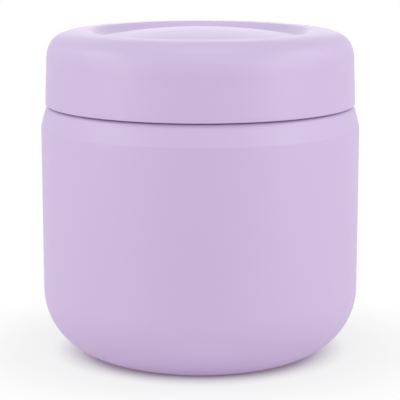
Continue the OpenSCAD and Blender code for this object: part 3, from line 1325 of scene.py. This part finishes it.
@dataclass
class Studio:
    """A white sweep with soft boxes at both sides and overhead, and the camera.

    Attributes:
        camera_place: The camera's place in metres.
        target: The point that it looks at, in metres.
        focal_px: Its focal length in pixels of a 400 pixel wide picture.
        shift_px: Where the middle of the view lies, in pixels right of and below the picture's own.
        ambient: Strength of the room's light on dull surfaces.
        white: Strength of the white room as seen directly, in gloss and through glass.
        glow: Strength of the light that the floor throws up at dull surfaces, besides what it
            reflects.
        fade: Steps in which the floor goes over from taking shadow to plain white: where each
            starts and ends, in millimetres from the jar's axis, and the share of white it adds.
        squeeze: What widths from side to side count in those distances, so that the shadow is wider
            than it is deep.
        floor_r: Radius of the floor, in millimetres.
        floor_gap: How far it lies below the jar, in millimetres.
        floor_depth: Its thickness at the middle, in millimetres.
    """

    camera_place: tuple[float, float, float] = (0.0, -0.50425, 0.14417)
    target: tuple[float, float, float] = (0.0, 0.0, 0.04816)
    focal_px: float = 1610.3
    shift_px: tuple[float, float] = (0.25, 0.5)
    picture_px: float = 400.0
    sensor_mm: float = 36.0
    near_clip: float = 0.02
    ambient: float = 0.15
    white: float = 1.0
    floor_colour: str = "#dcdcdc"
    glow: float = 0.19
    glow_colour: str = "#ffcbef"
    floor_r: float = 3000.0
    floor_gap: float = 0.02
    floor_depth: float = 20.0
    floor_grain_mm: float = 0.8
    floor_grain_h: float = 0.002
    fade: tuple[tuple[float, float, float], ...] = ((30.5, 44.0, 0.77), (42.0, 85.0, 0.23))
    squeeze: float = 0.9
    boxes: tuple[SoftBox, ...] = (
        SoftBox("left high box", -90.0, 38.0, (0.5, 0.45), 3.8),
        SoftBox("left low box", -60.0, 12.0, (0.55, 0.45), 4.2),
        SoftBox("left back box", -150.0, 38.0, (0.5, 0.45), 0.7),
        SoftBox("right high box", 90.0, 38.0, (0.5, 0.45), 4.0),
        SoftBox("right low box", 60.0, 12.0, (0.55, 0.45), 4.55),
        SoftBox("right back box", 150.0, 38.0, (0.5, 0.45), 0.35),
        SoftBox("front bank", 0.0, 30.0, (1.4, 0.5), 3.45),
        SoftBox("overhead box", 0.0, 90.0, (0.45, 0.45), 2.3),
        SoftBox("back box", 180.0, 12.0, (0.55, 0.45), 1.35),
    )

    def floor_outline(self) -> Array:
        """Rings of the floor, closer together near the jar: radius grows with the square of the step.

        Returns:
            Outline points, in millimetres.
        """
        r = self.floor_r * np.linspace(0.0, 1.0, 40) ** 2
        top = np.column_stack([r, np.full_like(r, -self.floor_gap)])
        return np.vstack([top, [[0.0, -self.floor_depth]]])

    def shown(self, tree: NodeTree) -> Node:
        """Finds the rays that show a place as it is.

        Args:
            tree: The material's or world's nodes.

        Returns:
            A node whose output is 1 from the camera, in gloss and through glass, and 0 otherwise.
        """
        path = add(tree, "ShaderNodeLightPath").outputs
        kinds = path["Is Camera Ray"]
        for other in ("Is Glossy Ray", "Is Transmission Ray"):
            kinds = add(tree, "ShaderNodeMath", {0: kinds, 1: path[other]}, operation="MAXIMUM")
        return kinds

    def floor_material(self) -> Material:
        """White acrylic, lit from below, that takes the jar's shadow and fades to plain white.

        Returns:
            The floor's material.
        """
        material = bpy.data.materials.new("white acrylic light table")
        tree = cleared(material)
        place = add(tree, "ShaderNodeTexCoord").outputs["Object"]
        grain = add(
            tree, "ShaderNodeTexNoise", {"Vector": place, "Scale": per_mm(self.floor_grain_mm), "Detail": 2.0}
        )
        relief = {"Height": grain, "Distance": self.floor_grain_h * MM, "Strength": 1.0}
        bump = add(tree, "ShaderNodeBump", relief)
        card = add(tree, "ShaderNodeBsdfDiffuse", {"Color": linear(self.floor_colour), "Normal": bump})
        shown = self.shown(tree)
        level = add(tree, "ShaderNodeMapRange", {"Value": shown, "To Min": self.glow, "To Max": 0.0})
        glow = add(tree, "ShaderNodeEmission", {"Color": linear(self.glow_colour), "Strength": level})
        table = add(tree, "ShaderNodeAddShader", {0: card, 1: glow})
        plain = add(tree, "ShaderNodeEmission", {"Strength": self.white})
        narrowed = {0: place, 1: (self.squeeze, 1.0, 1.0)}
        oval = add(tree, "ShaderNodeVectorMath", narrowed, operation="MULTIPLY")
        away = add(tree, "ShaderNodeVectorMath", {0: oval}, operation="LENGTH").outputs["Value"]
        share = 0.0
        for start, end, gain in self.fade:
            ring = {"Value": away, "From Min": start * MM, "From Max": end * MM, "To Max": gain}
            step = add(tree, "ShaderNodeMapRange", ring, interpolation_type="SMOOTHSTEP")
            share = add(tree, "ShaderNodeMath", {0: share, 1: step})
        seen = add(tree, "ShaderNodeMath", {0: share, 1: shown}, operation="MULTIPLY")
        mix = add(tree, "ShaderNodeMixShader", {0: seen, 1: table, 2: plain})
        add(tree, "ShaderNodeOutputMaterial", {"Surface": mix})
        return material

    def build_floor(self) -> None:
        """Lays the floor."""
        mesh = turned_mesh("floor", self.floor_outline(), 96)
        mesh.materials.append(self.floor_material())
        put("floor", mesh)

    def build_world(self) -> None:
        """A white room: full white where it is seen, and dimmer as light on dull surfaces."""
        world = bpy.data.worlds.new("white room")
        bpy.context.scene.world = world
        tree = cleared(world)
        dull, plain = (
            add(tree, "ShaderNodeBackground", {"Color": linear("#ffffff"), "Strength": strength})
            for strength in (self.ambient, self.white)
        )
        mix = add(tree, "ShaderNodeMixShader", {0: self.shown(tree), 1: dull, 2: plain})
        add(tree, "ShaderNodeOutputWorld", {"Surface": mix})

    def build_camera(self) -> None:
        """Sets up the camera: lens = focal length in pixels x sensor width / picture width."""
        camera = bpy.data.cameras.new("camera")
        camera.sensor_width = self.sensor_mm
        camera.lens = self.focal_px * self.sensor_mm / self.picture_px
        camera.shift_x = -self.shift_px[0] / self.picture_px
        camera.shift_y = self.shift_px[1] / self.picture_px
        camera.clip_start = self.near_clip
        holder = put("camera", camera)
        holder.location = self.camera_place
        aim = Vector(self.target) - holder.location
        holder.rotation_euler = aim.to_track_quat("-Z", "Y").to_euler()
        bpy.context.scene.camera = holder

    def build(self) -> None:
        """Sets up the whole studio."""
        bpy.context.scene.view_settings.view_transform = "Standard"
        self.build_camera()
        self.build_world()
        self.build_floor()
        for box in self.boxes:
            box.build(Vector(self.target))


def main() -> None:
    """Builds and dresses the jar from the outside in, then the studio."""
    logging.basicConfig(level=logging.INFO, format="%(name)s: %(message)s", stream=sys.stdout)
    cup_steel = CUP_STEEL.make()
    JarWall().build(LILAC_COAT.make(), cup_steel, WELD_STEEL.make())
    FoodCup().build(cup_steel)
    base = Base()
    base.build(BASE_STEEL.make())
    base.dress(PLATE_STEEL.make(), SEAL_GLASS.make(), SINTERED.make())
    Insulation().dress(WRAP_FOIL.make(), WHITE_FOAM.make())
    LidCover().build(LILAC_PLASTIC.make())
    LidCore().build(PALE_PLASTIC.make())
    SealingRing().build(SILICONE.make())
    Studio().build()


if __name__ == "__main__":
    main()
